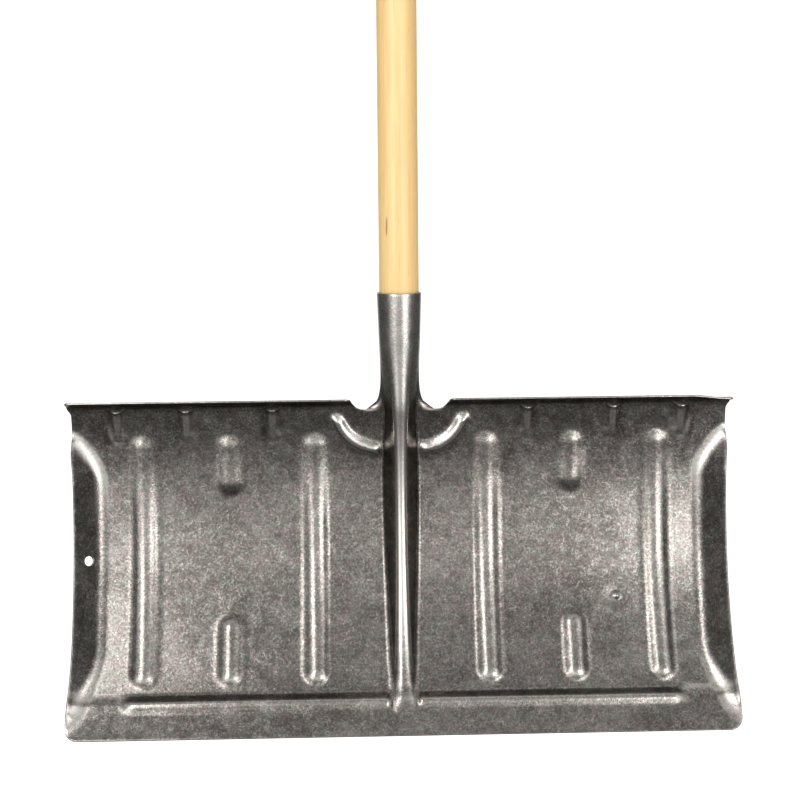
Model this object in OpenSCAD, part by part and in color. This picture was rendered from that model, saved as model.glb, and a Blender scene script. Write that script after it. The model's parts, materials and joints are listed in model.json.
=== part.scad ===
// Snow shovel: a blade pressed from one steel sheet, whose middle is rolled into
// a socket, on a straight wooden handle held by two wood screws.
// The handle stands along +Z, the hollow side of the blade faces -Y, and the
// cutting edge rests on Z = 0. All sizes are in millimetres.

/* [Blade panel] */
// Width of the blade across its side edges
blade_w = 540; // [500:5:600]
// Radius of the panel's hollow curve
curve_r = 300; // [270:5:340]
// Forward lean of the panel at its top bend, in degrees
curve_top = 8.5; // [6:0.5:10]
// Length of the panel along its curve, from the top bend to the cutting edge
panel_len = 270; // [268:1:272]
// Thickness of the steel sheet
sheet = 1.5; // [1.2:0.1:1.8]
// Radius of the two lower corners
corner_r = 12; // [8:1:14]

/* [Top lip] */
// Length of the lip along the sheet
lip_len = 18.5; // [16:0.5:21]
// Angle that the lip is bent forward
lip_bend = 61; // [50:1:64]
// Inner radius of the lip's bend
lip_r = 8; // [6:0.5:9]
// Further bend of the lip at its two outer ends
lip_droop = 6; // [0:1:12]
// Height of the darts that stiffen the bend
dart_h = 4; // [3:0.5:5]
// Width of a dart
dart_w = 13; // [8:1:13]
// Reach of a dart down the panel
dart_len = 17; // [14:1:20]

/* [Side flanges] */
// Angle that each flange is bent forward
flange_bend = 40; // [30:1:45]
// Distance from the side edge of the flat sheet to the crease
flange_w = 25; // [20:1:27]
// Distance that the bend draws the side edge in
flange_draw = 5; // [3:0.5:6]
// Length of sheet taken up by the crease's round
flange_round = 10; // [6:1:12]
// Diameter of the hanging hole
hang_d = 8; // [6:0.5:9]

/* [Ribs] */
// Spacing of the ribs across the blade
rib_pitch = 70; // [68:1:72]
// Height of a rib
rib_h = 3.9; // [3:0.1:4]
// Radius of a rib's crest
rib_crest = 15; // [12:0.5:15]
// Radius of a rib's foot
rib_foot = 8; // [6:0.5:8]
// Steepest slope of a rib, in degrees
rib_flank = 38; // [34:1:42]

/* [Spine and socket] */
// Greatest height of the spine above the panel
spine_h = 18.6; // [17:0.1:19.5]
// Radius of the spine's crest away from the socket
spine_crest = 5.5; // [5:0.5:7]
// Outer radius of the socket at its mouth
socket_r = 18; // [17.6:0.1:18.6]
// Height of the socket's mouth above the top bend
socket_h = 96; // [90:1:110]
// Taper of the socket, as radius lost for each millimetre down
socket_taper = 0.034; // [0.02:0.001:0.04]
// Radius of the two relief notches beside the neck
notch_r = 10.5; // [9:0.5:11]

/* [Handle] */
// Radius of the handle
handle_r = 16; // [15.5:0.1:16.2]
// Length of the handle above the socket's mouth
handle_len = 1000; // [800:10:1200]
// Radius that rounds the handle's free end
handle_round = 12; // [6:1:14]

/* [Screws] */
// Radius of a screw's shank
screw_r = 2; // [1.5:0.1:2.2]
// Length of a screw under its head
screw_len = 22; // [18:1:24]
// Radius of a screw's head
screw_head_r = 4; // [3.5:0.1:4.5]
// Height of a screw's head
screw_head_h = 2.4; // [2:0.1:3]
// Angle from the seam at the back to each screw, in degrees
screw_turn = 32; // [25:1:40]

/* [Hidden] */

// Where features lie along the panel, as distance from the top bend.
rib_top = 17;
rib_end = 229;
short_rib_top = 71;
short_rib_low = 166;
ridge_s = 241;
flange_top = 15;
flange_full = 60;
flange_fall = 208;
flange_end = 264;
spine_peak = 40;
spine_end = 255;

// Ridge above the cutting edge, and the step that it leaves below.
ridge_h = 3.5;
edge_lift = 1.2;
ridge_rise = 10;
ridge_fall = 8;
ridge_side = 222;
ridge_side_fade = 12;
ridge_mid = 9;
ridge_mid_fade = 6;

// How the spine's section changes: the round and steep part dies out below the
// socket, and the foot grows wider towards the edge.
spine_fade = 18;
spine_near_round = 2;
spine_near_flank = 8;
spine_flank_low = 58;
spine_foot_top = 4;
spine_foot_growth = 8;
spine_least = 11;

// Curved bead beside the neck.
bead_x = 17;
bead_s = -3;
bead_r = 37;
bead_h = 3.2;
bead_in = 9;
bead_out = 4.5;
bead_start_s = 2;
bead_start_x = 15;
bead_start_run = [5, 8];

// Darts and hanging hole.
dart_x = [104, 174, 230];
dart_lip = 8.5;
hang_x = -254.3;
hang_s = 122;

// Neck between the panel and the round socket: the spine's section turns into the
// tube's front half up to neck_h, and the webs beside it wrap to the back by web_h.
neck_x = 30;
neck_h = 58;
web_h = 28;
neck_run = 9;
neck_ease = 1.4;
front_turn = 0.52;
seam_turn = 177;
bend_setback = 3;
droop_run = 20;
tenon_h = 56;
through = 100;

// Screws: heights below the socket's mouth, tapered point, straight side of the head.
screw_drop = [20, 36];
screw_point = 5;
head_rim = 0.8;

// Room between the handle and the socket, beyond what the facets take, and under a screw's head.
pole_gap = 0.2;
facet_gap = 0.25;
head_gap = 0.05;
tenon_chamfer = 1.5;
shoulder = 1;

function clamp01(v) = min(1, max(0, v));
function ease(v) = let(c = clamp01(v)) c * c * (3 - 2 * c);
function mix(a, b, t) = a + (b - a) * t;
function degrees(r) = r * 180 / PI;

// Lean of the panel's curve at distance s below the top bend, in degrees.
function lean(s) = curve_top - degrees(s / curve_r);

// Section of a ridge made of a crest arc, straight flanks and foot arcs.
function arch_slope(h, crest, foot, flank) =
    let(round_h = (crest + foot) * (1 - cos(flank)))
    h >= round_h ? flank : acos(1 - h / (crest + foot));
function arch_run(h, crest, foot, a) = (h - (crest + foot) * (1 - cos(a))) / tan(a);
function arch_half(h, crest, foot, flank) =
    h < 0.01 ? 0 :
    let(a = arch_slope(h, crest, foot, flank))
    (crest + foot) * sin(a) + arch_run(h, crest, foot, a);
function arch(d, h, crest, foot, flank) =
    let(half = arch_half(h, crest, foot, flank), e = abs(d))
    e >= half ? 0 :
    let(a = arch_slope(h, crest, foot, flank))
    e <= crest * sin(a) ? h - crest + sqrt(crest * crest - e * e) :
    e >= half - foot * sin(a) ? foot - sqrt(foot * foot - (half - e) * (half - e)) :
    h - crest * (1 - cos(a)) - (e - crest * sin(a)) * tan(a);

// A rib from s0 to s1 on a line at x0, with round ends.
rib_half = arch_half(rib_h, rib_crest, rib_foot, rib_flank);
function rib(x, s, x0, s0, s1) =
    let(along = s - min(s1 - rib_half, max(s0 + rib_half, s)))
    arch(norm([x - x0, along]), rib_h, rib_crest, rib_foot, rib_flank);
function ribs(x, s) =
    let(e = abs(x))
    max(rib(e, s, rib_pitch, rib_top, rib_end),
        rib(e, s, 2 * rib_pitch, rib_top, short_rib_top),
        rib(e, s, 2 * rib_pitch, short_rib_low, rib_end),
        rib(e, s, 3 * rib_pitch, rib_top, rib_end));

// The spine: tall and round at the socket, then sharper, then fading out.
function spine_height(s) =
    let(t = (s - spine_peak) / (spine_end - spine_peak))
    max(0, spine_h * (1 - t * t));
function spine_near(s) = exp(-max(0, s) / spine_fade);
function spine_round(s) = spine_crest + spine_near_round * spine_near(s);
function spine_foot(s) = spine_foot_top + spine_foot_growth * pow(s / spine_end, 2);
function spine_flank(s) = spine_flank_low + spine_near_flank * spine_near(s);
function spine_half(s) =
    max(spine_least, arch_half(spine_height(s), spine_round(s), spine_foot(s), spine_flank(s)));
function spine(x, s) = arch(x, spine_height(s), spine_round(s), spine_foot(s), spine_flank(s));

// The curved bead: a long inner slope and a short outer one.
function bead(x, s) =
    let(r = norm([abs(x) - bead_x, s - bead_s]))
    bead_h * ease((r - bead_r + bead_in) / bead_in) * (1 - ease((r - bead_r) / bead_out))
    * ease((abs(x) - bead_start_x) / bead_start_run[0]) * ease((s - bead_start_s) / bead_start_run[1]);

// The ridge above the cutting edge.
function ridge(x, s) =
    let(up = ease((s - ridge_s + ridge_rise) / ridge_rise),
        down = ease((s - ridge_s) / ridge_fall),
        from_mid = ease((abs(x) - ridge_mid) / ridge_mid_fade),
        to_side = 1 - ease((abs(x) - ridge_side) / ridge_side_fade + 0.5),
        span = from_mid * to_side)
    edge_lift * up + (ridge_h - edge_lift) * up * (1 - down) * span;

// Share of the full flange at distance s, and the flange's rise beyond its crease.
function flange_share(s) =
    s <= flange_top ? 0 :
    min(sin(90 * clamp01((s - flange_top) / (flange_full - flange_top))),
        clamp01((flange_end - s) / (flange_end - flange_fall)));
function flange(x, s) =
    let(share = flange_share(s),
        d = abs(x) - blade_w / 2 + flange_w * share,
        half = flange_round / 2,
        rise = d <= -half ? 0 : d >= half ? d : pow(d + half, 2) / (2 * flange_round))
    tan(flange_bend) * rise * clamp01(4 * share);

// A dart across the lip's bend, narrowing to a point at its lower end.
function dart(x, s, x0) =
    let(reach = s < 0 ? 1 + s / dart_lip : 1 - s / dart_len,
        half = dart_w / 2 * (s < 0 ? 1 : reach))
    reach <= 0 ? 0 : dart_h * reach * clamp01(1 - abs(abs(x) - x0) / half);
function darts(x, s) = max([for (x0 = dart_x) dart(x, s, x0)]);

// Height of the pressing's front face over the plain curve.
function relief(x, s) =
    s < 0 ? darts(x, s) :
    spine(x, s) + ribs(x, s) + bead(x, s) + ridge(x, s) + flange(x, s) + darts(x, s);

// Half width of the blade at distance s, with the drawn-in side and the round corner.
function half_width(s) =
    let(into = s - panel_len + corner_r,
        corner = into <= 0 ? 0 : corner_r - sqrt(max(0, corner_r * corner_r - into * into)))
    blade_w / 2 - flange_draw * flange_share(s) - corner;

// Place of the curve: the cutting edge touches Z = 0 and the box is centred on Y = 0.
edge_lean = lean(panel_len);
curve_z = -(curve_r - edge_lift + sheet) * sin(edge_lean);
bend_z = curve_z + curve_r * sin(curve_top);
mouth_z = bend_z + socket_h;
front_reach = curve_r * cos(curve_top) - (curve_r - edge_lift) * cos(edge_lean) - bend_setback;

// Side view of a screw as distance along its axis from the handle's axis, and radius.
function socket_radius(v) = socket_r - socket_taper * (socket_h - v);
function screw_seat(drop) = socket_radius(socket_h - drop) + head_gap;
function screw_profile(drop) =
    let(seat = screw_seat(drop), tip = seat - screw_len)
    concat([[0, tip], [screw_r, tip + screw_point], [screw_r, seat], [screw_head_r, seat]],
        [for (a = [0:15:90]) [screw_head_r * cos(a), seat + head_rim + (screw_head_h - head_rim) * sin(a)]]);
screw_back = max([for (p = screw_profile(screw_drop[0])) p[1] * cos(screw_turn) + p[0] * sin(screw_turn)]);
back_reach = max(screw_back, socket_r * cos(180 - seam_turn));
axis_y = (front_reach - back_reach) / 2;
curve_y = axis_y + bend_setback - curve_r * cos(curve_top);

// Front face of the panel and the lip at width x and distance s from the bend.
function lip_angle(x) = lip_bend + lip_droop * ease((abs(x) - blade_w / 2) / droop_run + 1);
function lip_point(x, s) =
    let(full = lip_angle(x),
        turn = min(full, degrees(-s / lip_r)),
        a = curve_top + turn,
        straight = -s - lip_r * turn * PI / 180,
        h = relief(x, s))
    [x,
     curve_y + curve_r * cos(curve_top) + lip_r * (cos(a) - cos(curve_top)) - straight * sin(a) - h * cos(a),
     bend_z + lip_r * (sin(a) - sin(curve_top)) + straight * cos(a) - h * sin(a)];
function panel_point(x, s) =
    s < 0 ? lip_point(x, s) :
    let(a = lean(s), r = curve_r - relief(x, s))
    [x, curve_y + r * cos(a), curve_z + r * sin(a)];

// Outer face of the neck and the socket: the strip's section at the bend leaves
// along the panel's lean and wraps round to a tube. u runs from -1 to 1 across the strip.
function neck_point(u, v) =
    let(root = panel_point(strip_x(u), 0),
        root_y = root[1] - tan(curve_top) * neck_run * (1 - exp(-v / neck_run)),
        r = socket_radius(v),
        web = (abs(u) - foot_u) / (1 - foot_u),
        turn_share = web < 0 ? front_turn * abs(u) / foot_u : mix(front_turn, 1, web),
        turn = sign(u) * seam_turn * turn_share,
        t = clamp01(v / mix(neck_h, web_h, ease(web))),
        w = 1 - pow(1 - t, neck_ease))
    [mix(root[0], r * sin(turn), w),
     mix(root_y, axis_y - r * cos(turn), w),
     mix(root[2], bend_z, w) + v];

// Unit normals of the front face, from a short step across and a short step down.
step_x = 0.2;
step_u = 0.01;
step_s = 0.4;
function unit(v) = v / norm(v);
function panel_normal(x, s) =
    unit(cross(panel_point(x, s + step_s) - panel_point(x, s),
        panel_point(x + step_x, s) - panel_point(x - step_x, s)));
function neck_normal(u, v) =
    unit(cross(neck_point(u, v - step_s) - neck_point(u, v),
        neck_point(u + step_u, v) - neck_point(u - step_u, v)));

// Columns across the blade: shares of the spine's half width, then places across the
// webs, ribs and darts, then shares of the way from the last dart to the side edge.
spine_cols = [for (k = [0:8]) k / 8];
web_cols = [19, 22.5, 26];
panel_cols = concat(web_cols, [neck_x, 34, 44, 52], rib_cols(1), [92], dart_cols(0), [120],
    rib_cols(2), dart_cols(1), rib_cols(3), dart_cols(2));
side_cols = [0.18, 0.28, 0.4, 0.68, 1];
function rib_cols(k) = [for (e = [-1, -0.55, 0, 0.55, 1]) k * rib_pitch + e * rib_half];
function dart_cols(k) = [for (e = [-dart_w / 2, 0, dart_w / 2]) dart_x[k] + e];
neck_cols = len(spine_cols);
strip_cols = neck_cols + len(web_cols);
foot_u = (neck_cols - 1) / strip_cols;
inner_cols = neck_cols + len(panel_cols);
half_cols = inner_cols + len(side_cols) - 1;
outer_x = panel_cols[len(panel_cols) - 1];

function col_x(i, s) =
    let(k = abs(i), side = sign(i))
    k < neck_cols ? side * spine_cols[k] * spine_half(s) :
    k < inner_cols ? side * panel_cols[k - neck_cols] :
    side * mix(outer_x, half_width(s), side_cols[k - inner_cols]);

// Width of the place u on the strip at the bend.
strip_places = [for (i = [0:strip_cols]) [i / strip_cols, col_x(i, 0)]];
function strip_x(u) = sign(u) * lookup(abs(u), strip_places);

// Rows: the socket's mouth first, then the lip beside the neck, then the panel.
neck_rows = [socket_h, 76, neck_h, 46, 36, 28, 21, 15, 10, 6, 3];
lip_rows = [-lip_len, -8.5, -4];
panel_rows = [0, 8, 17, 24, 32, 45, 59, 71, 85, 105, 125, 145, 166, 172, 190, 208, 217, 223,
    229, 235, 241, 249, 258, 263, 267, panel_len];
neck_n = len(neck_rows);
lip_n = len(lip_rows);
row_n = neck_n + len(panel_rows);
col_n = 2 * half_cols + 1;

// Corner of the grid at column i (0 in the middle) and row j, on the front face
// (side 0) or the back face (side 1).
function grid_point(i, j, side) =
    j >= neck_n ? panel_corner(i, panel_rows[j - neck_n], side) :
    abs(i) <= strip_cols ? neck_corner(i, neck_rows[j], side) :
    panel_corner(i, lip_rows[max(0, j - neck_n + lip_n)], side);
function panel_corner(i, s, side) =
    let(x = col_x(i, max(0, s)))
    panel_point(x, s) - side * sheet * panel_normal(x, s);
function neck_corner(i, v, side) =
    let(u = i / strip_cols)
    neck_point(u, v) - side * sheet * neck_normal(u, v);

// A cell lies between columns i and i + 1 and rows j and j + 1.
function in_strip(i) = i >= -strip_cols && i < strip_cols;
function in_lip(i) = i > strip_cols || i < -strip_cols - 1;
function has_cell(i, j) =
    i >= -half_cols && i < half_cols && j >= 0 && j < row_n - 1 &&
    (j >= neck_n || in_strip(i) || (in_lip(i) && j >= neck_n - lip_n));

function index(i, j, side) = (side * row_n + j) * col_n + i + half_cols;
function quad(a, b, c, d) = [[a, b, c], [a, c, d]];
function cell_faces(i, j) = concat(
    quad(index(i, j, 0), index(i + 1, j, 0), index(i + 1, j + 1, 0), index(i, j + 1, 0)),
    quad(index(i, j, 1), index(i, j + 1, 1), index(i + 1, j + 1, 1), index(i + 1, j, 1)),
    has_cell(i, j - 1) ? [] : quad(index(i, j, 1), index(i + 1, j, 1), index(i + 1, j, 0), index(i, j, 0)),
    has_cell(i, j + 1) ? [] :
        quad(index(i, j + 1, 0), index(i + 1, j + 1, 0), index(i + 1, j + 1, 1), index(i, j + 1, 1)),
    has_cell(i - 1, j) ? [] : quad(index(i, j, 1), index(i, j, 0), index(i, j + 1, 0), index(i, j + 1, 1)),
    has_cell(i + 1, j) ? [] :
        quad(index(i + 1, j, 0), index(i + 1, j, 1), index(i + 1, j + 1, 1), index(i + 1, j + 1, 0)));

module pressing() {
    points = [for (side = [0, 1]) for (j = [0:row_n - 1]) for (i = [-half_cols:half_cols])
        grid_point(i, j, side)];
    faces = [for (j = [0:row_n - 2]) for (i = [-half_cols:half_cols - 1])
        if (has_cell(i, j)) each cell_faces(i, j)];
    polyhedron(points = points, faces = faces);
}

// Turns +Z to direction v.
module aim(v) {
    rotate([0, acos(v[2] / norm(v)), atan2(v[1], v[0])]) children();
}

module hang_hole() {
    translate(panel_point(hang_x, hang_s)) aim(panel_normal(hang_x, hang_s))
        cylinder(d = hang_d, h = through, center = true, $fn = 48);
}

module notch(side) {
    translate([side * neck_x, 0, bend_z + notch_r]) rotate([90, 0, 0])
        cylinder(r = notch_r, h = through, center = true, $fn = 64);
}

// Places a screw's own axis (+Z, from the handle's middle) at the socket's back.
module at_screw(k) {
    translate([0, axis_y, mouth_z - screw_drop[k]]) rotate([0, 0, k == 0 ? screw_turn : -screw_turn])
        rotate([-90, 0, 0]) children();
}

module blade() {
    color("#8d8781") difference() {
        pressing();
        hang_hole();
        for (side = [-1, 1]) notch(side);
        for (k = [0, 1]) at_screw(k) cylinder(r = screw_r, h = through, $fn = 32);
    }
}

// The handle's outline: tapered tenon in the socket, straight pole, round free end.
tenon_top_r = socket_r - sheet - facet_gap - pole_gap;
tenon_low_r = socket_radius(tenon_h) - sheet - facet_gap - pole_gap;
module handle() {
    end = socket_h + handle_len;
    round_points = [for (a = [0:10:90])
        [handle_r - handle_round + handle_round * cos(a), end - handle_round + handle_round * sin(a)]];
    color("#ecd0a0") difference() {
        translate([0, axis_y, bend_z]) rotate_extrude($fn = 96)
            polygon(concat([[0, tenon_h], [tenon_low_r - tenon_chamfer, tenon_h],
                [tenon_low_r, tenon_h + tenon_chamfer], [min(tenon_top_r, handle_r), socket_h],
                [handle_r, socket_h + shoulder]], round_points, [[0, end]]));
        for (k = [0, 1]) at_screw(k) screw_solid(k);
    }
}

module screw_solid(k) {
    rotate_extrude($fn = 32) polygon(screw_profile(screw_drop[k]));
}

module screw_upper() {
    color("#b9b6b0") at_screw(0) screw_solid(0);
}

module screw_lower() {
    color("#b9b6b0") at_screw(1) screw_solid(1);
}

blade();
handle();
screw_upper();
screw_lower();
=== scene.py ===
"""Looks of the snow shovel: a pressed steel blade with a rolled socket, a wooden handle and two wood screws.

The blade is one sheet of steel. Its front face is worked out on a grid of width x and distance s below the
top bend (e is x without its sign), then given its thickness and rounded edges. Shape values are in
millimetres; MM turns them to metres.
"""

import json
import math

import bmesh
import bpy
import numpy as np
from mathutils import Euler, Matrix, Vector


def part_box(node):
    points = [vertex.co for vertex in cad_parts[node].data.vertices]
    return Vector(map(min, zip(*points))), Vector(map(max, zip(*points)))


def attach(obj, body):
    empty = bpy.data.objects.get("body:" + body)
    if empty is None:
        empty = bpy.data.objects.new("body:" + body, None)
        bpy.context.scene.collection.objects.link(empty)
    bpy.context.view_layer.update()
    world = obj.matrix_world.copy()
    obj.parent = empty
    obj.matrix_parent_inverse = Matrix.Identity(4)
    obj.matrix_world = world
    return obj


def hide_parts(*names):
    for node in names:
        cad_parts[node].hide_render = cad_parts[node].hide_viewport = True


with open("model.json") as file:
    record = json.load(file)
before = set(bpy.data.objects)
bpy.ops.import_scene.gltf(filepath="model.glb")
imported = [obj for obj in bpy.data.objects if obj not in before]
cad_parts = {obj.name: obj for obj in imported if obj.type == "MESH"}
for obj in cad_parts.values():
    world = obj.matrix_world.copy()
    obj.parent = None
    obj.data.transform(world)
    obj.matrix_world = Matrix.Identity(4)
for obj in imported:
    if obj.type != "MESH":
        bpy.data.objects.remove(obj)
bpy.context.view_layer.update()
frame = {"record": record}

MM = 0.001

# ---------------------------------------------------------------- places taken from the frame
handle_low, handle_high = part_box("handle")
AXIS_Y = (handle_low.y + handle_high.y) / 2 / MM
POLE_R = (handle_high.x - handle_low.x) / 2 / MM
FOOT_Z = handle_low.z / MM
TOP_Z = handle_high.z / MM
MOUTH_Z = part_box("blade")[1].z / MM
HOLE = next(m for m in frame["record"]["mounts"] if m["name"] == "hang_hole")

# ---------------------------------------------------------------- blade dimensions
# A pair named ..._FADE holds where a change starts and where it is complete, along s or e.
# The sheet's edges are rounded by EDGE_ROUND, over ROUND_DEPTH times as much of its thickness.
SHEET = 1.5
EDGE_ROUND = 0.35
ROUND_DEPTH = 0.9
# Rim points count as standing out this much, so the steel gives the edges polish and a painted highlight.
EDGE_STANDOUT = 0.08

# The panel: one arc from the top bend, which lies SETBACK behind the handle's axis, to the cutting edge.
HALF_W = 269.9
CURVE_R = 300.0
CURVE_TOP = math.radians(8.5)
PANEL_LEN = 270.0
CORNER_R = 12.0
SETBACK = 3.0

# The lip above the bend: one tip droops, the panel steps in below both, and their corners are round.
LIP_LEN = 18.5
LIP_BEND = math.radians(61)
LIP_R = 8.0
LIP_DROOP = math.radians(20)
DROOP_RUN = 34.0
LIP_STEP = 3.0
STEP_FADE = (-5.0, 2.0)
STEP_LOW_FADE = (190.0, 90.0)
TIP_R = 3.0
INNER_TIP_R = 5.0

# Darts across the bend: from DART_UP above it to DART_DOWN below it, highest at DART_PEAK.
DART_X = (104.0, 174.0, 230.0)
DART_H = 5.5
DART_W = 16.0
DART_DOWN = 25.0
DART_UP = 14.0
DART_PEAK = -4.0
DART_END_SHARE = 0.5
DART_CREST_SHARE = 0.1

# Side flanges: FLANGE_S is where one starts, is full, starts to narrow and ends. Its crease is
# FLANGE_ROUND wide, and wider by the ..._MORE shares at both ends.
FLANGE_TAN = math.tan(math.radians(40))
FLANGE_W = 25.0
FLANGE_DRAW = 5.0
FLANGE_S = (15.0, 60.0, 208.0, 264.0)
FLANGE_KNEE = 0.3
FLANGE_START = 4.0
FLANGE_ROUND = 10.0
ROUND_TOP_MORE = 0.5
ROUND_TOP_FADE = (60.0, 20.0)
ROUND_LOW_MORE = 0.9
ROUND_LOW_FADE = (205.0, 250.0)

# Ribs: a crest arc, a straight flank and a foot arc. The ..._TOP_ values are for the top of the blade.
RIB_PITCH = 70.0
RIB_H = 3.9
RIB_CREST = 15.0
RIB_FOOT = 8.0
RIB_FLANK = math.radians(38)
RIB_TOP_SHARE = 0.5
RIB_TOP_CREST = 9.0
RIB_TOP_FOOT = 8.0
RIB_FADE = (20.0, 100.0)
RIB_TOP = 17.0
RIB_END = 229.0
RIB_SHORT_LOW = 166.0
RIB_SHORT = ((RIB_TOP, 71.0), (RIB_SHORT_LOW, RIB_END))

# The spine runs down from the socket. Its ..._TOP_ values fade below the bend, and its ..._LOW_ values
# grow towards its end.
SPINE_H = 18.5
SPINE_PEAK = 40.0
SPINE_END = 255.0
SPINE_CREST = 5.5
SPINE_LOW_CREST = 9.0
SPINE_FOOT = 4.0
SPINE_LOW_FOOT = 8.0
SPINE_FLANK = math.radians(58)
SPINE_TOP_CREST = 2.0
SPINE_TOP_FLANK = math.radians(8)
SPINE_TOP_RUN = 18.0
SPINE_LEAST = 14.0
SPINE_LEAST_H = 0.4
SPINE_LEAST_FADE = (170.0, 220.0)

# The ridge across the blade, and how far the strip between it and the cutting edge is lifted.
RIDGE_S = 241.0
RIDGE_H = 3.5
RIDGE_UP = 10.0
RIDGE_DOWN = 8.0
RIDGE_IN_FADE = (9.0, 15.0)
RIDGE_OUT_FADE = (228.0, 216.0)
EDGE_LIFT = 1.2

# The curved beads beside the neck, steeper outside than inside, each with a fine line round it.
BEAD_X = 17.0
BEAD_S = -3.0
BEAD_R = 36.5
BEAD_H = 3.2
BEAD_CREST = 7.0
BEAD_FOOT = 2.5
BEAD_FLANK = math.radians(42)
BEAD_STEEP = 1.6
BEAD_TOP_FADE = (2.0, 10.0)
BEAD_IN_FADE = (13.0, 22.0)
BEAD_LINE_H = 0.35
BEAD_LINE_OUT = 5.2
BEAD_LINE_W = 0.9

# The round notch between neck and lip, and the socket: a cone whose seam is at its back.
NOTCH_X = 30.0
NOTCH_R = 10.5
NOTCH_FLAT = 2.0
SOCKET_R = 18.0
SOCKET_H = 96.0
SOCKET_TAPER = 0.034
NECK_H = 58.0
WEB_H = 28.0
NECK_RUN = 9.0
NECK_EASE = 1.4
WEB_SOFT = 0.1
SEAM_TURN = math.radians(177)
FRONT_TURN = 0.52

# Wood screws, set round the socket's back by SCREW_TURN to each side of its seam.
SCREW_TURN = math.radians(32)
SCREW_LEN = 22.0
SCREW_R = 2.0
SCREW_POINT = 5.0
SCREW_HEAD_R = 4.0
SCREW_HEAD_H = 2.4
SCREW_RIM = 0.8
SCREW_CHAMFER = 0.2
SCREW_GAP = 0.1
THREAD_PITCH = 1.8
THREAD_DEPTH = 0.3
THREAD_ROUND = 0.7
THREAD_END = 5.0
THREAD_RUN = 1.5
RECESS_SIDE_FADE = (0.65, 0.35)
RECESS_END_FADE = (2.3, 1.8)
RECESS_REACH = 2.1
RECESS_DEEP = 1.3
RECESS_RISE = 0.3

# The handle's tenon and its shoulder at the socket's mouth, and the radius of its free end.
TENON_GAP = 0.5
TENON_CHAMFER = 1.5
TENON_TOP_IN = 0.4
TENON_TOP_DOWN = 0.5
SHOULDER = 1.0
POLE_END_R = 12.0

# The hanging hole, the knock in the panel, and the height of the sheet's unevenness.
HANG_X = -254.3
HANG_S = 122.0
DENT_X = 176.0
DENT_S = 157.0
DENT_H = 2.6
DENT_R = 2.6
DENT_SINK = 1.1
DENT_SINK_R = 5.5
LONG_WAVE = 0.22
SHORT_WAVE = 0.07

# Strength of the painted highlights, and of the painted shade beside the darts, as shares of full polish.
NECK_HIGHLIGHT = 0.75
CREASE_HIGHLIGHT = 1.1
BEAD_HIGHLIGHT = 0.8
DART_HIGHLIGHT = 0.4
DART_SHADE = 0.3
DART_GLINT = 0.9

EDGE_LEAN = CURVE_TOP - PANEL_LEN / CURVE_R
CURVE_Z = -(CURVE_R - EDGE_LIFT + SHEET) * math.sin(EDGE_LEAN)
BEND_Z = CURVE_Z + CURVE_R * math.sin(CURVE_TOP)
CURVE_Y = AXIS_Y + SETBACK - CURVE_R * math.cos(CURVE_TOP)


# ---------------------------------------------------------------- blade: height of the pressing
def clamp01(v):
    return np.clip(v, 0.0, 1.0)


def ease(v):
    c = clamp01(v)
    return c * c * (3 - 2 * c)


def fade(v, start, end):
    """0 up to start, 1 from end on, smooth between them. start may be the larger one."""
    return ease((v - start) / (end - start))


def bell(d, reach):
    return np.exp(-((d / reach) ** 2))


def mix(a, b, t):
    return a + (b - a) * t


NO_HEIGHT = 0.01


def arch(d, height, crest, foot, flank):
    """Height and half width of a ridge at distance d from its middle: crest arc, straight flank, foot arc."""
    d = np.abs(d)
    high = np.maximum(height, 1e-6)
    both = crest + foot
    slope = np.where(high >= both * (1 - np.cos(flank)), flank, np.arccos(np.clip(1 - high / both, -1, 1)))
    run = np.maximum(high - both * (1 - np.cos(slope)), 0) / np.tan(slope)
    half = both * np.sin(slope) + run
    top = high - crest + np.sqrt(np.maximum(crest**2 - d**2, 0))
    low = foot - np.sqrt(np.maximum(foot**2 - (half - d) ** 2, 0))
    side = high - crest * (1 - np.cos(slope)) - (d - crest * np.sin(slope)) * np.tan(slope)
    shape = np.where(d <= crest * np.sin(slope), top, np.where(d >= half - foot * np.sin(slope), low, side))
    return np.where((d >= half) | (height < NO_HEIGHT), 0, shape), half


RIB_HALF = float(arch(0.0, RIB_H, RIB_CREST, RIB_FOOT, RIB_FLANK)[1])


def rib(e, s, middle, start, end):
    """A rib with round ends, lower and softer near the top of the blade."""
    along = s - np.clip(s, start + RIB_HALF, end - RIB_HALF)
    full = fade(s, *RIB_FADE)
    height = RIB_H * mix(RIB_TOP_SHARE, 1, full)
    crest = RIB_CREST + RIB_TOP_CREST * (1 - full)
    foot = RIB_FOOT + RIB_TOP_FOOT * (1 - full)
    return arch(np.hypot(e - middle, along), height, crest, foot, RIB_FLANK)[0]


def ribs(e, s):
    """On each side a long rib, then a short one above another, then a long one again."""
    long_ribs = [rib(e, s, k * RIB_PITCH, RIB_TOP, RIB_END) for k in (1, 3)]
    short_ribs = [rib(e, s, 2 * RIB_PITCH, *stretch) for stretch in RIB_SHORT]
    return np.maximum.reduce(long_ribs + short_ribs)


def spine(x, s):
    """Height and half width of the spine: tall and round at the socket, sharper below, flat at its end.

    Towards its low end the arcs grow, so that the spine stays at least SPINE_LEAST wide on each side.
    """
    t = (s - SPINE_PEAK) / (SPINE_END - SPINE_PEAK)
    height = np.maximum(0, SPINE_H * (1 - t * t))
    near = np.exp(-np.maximum(0, s) / SPINE_TOP_RUN)
    crest = SPINE_CREST + SPINE_TOP_CREST * near + SPINE_LOW_CREST * (s / SPINE_END) ** 4
    foot = SPINE_FOOT + SPINE_LOW_FOOT * (s / SPINE_END) ** 2
    wide_arcs = (SPINE_LEAST**2 + height**2) / (2 * np.maximum(height, SPINE_LEAST_H))
    grow = mix(1, np.maximum(1, wide_arcs / (crest + foot)), fade(s, *SPINE_LEAST_FADE))
    shape, half = arch(x, height, crest * grow, foot * grow, SPINE_FLANK + SPINE_TOP_FLANK * near)
    return shape, np.maximum(SPINE_LEAST, half)


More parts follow.
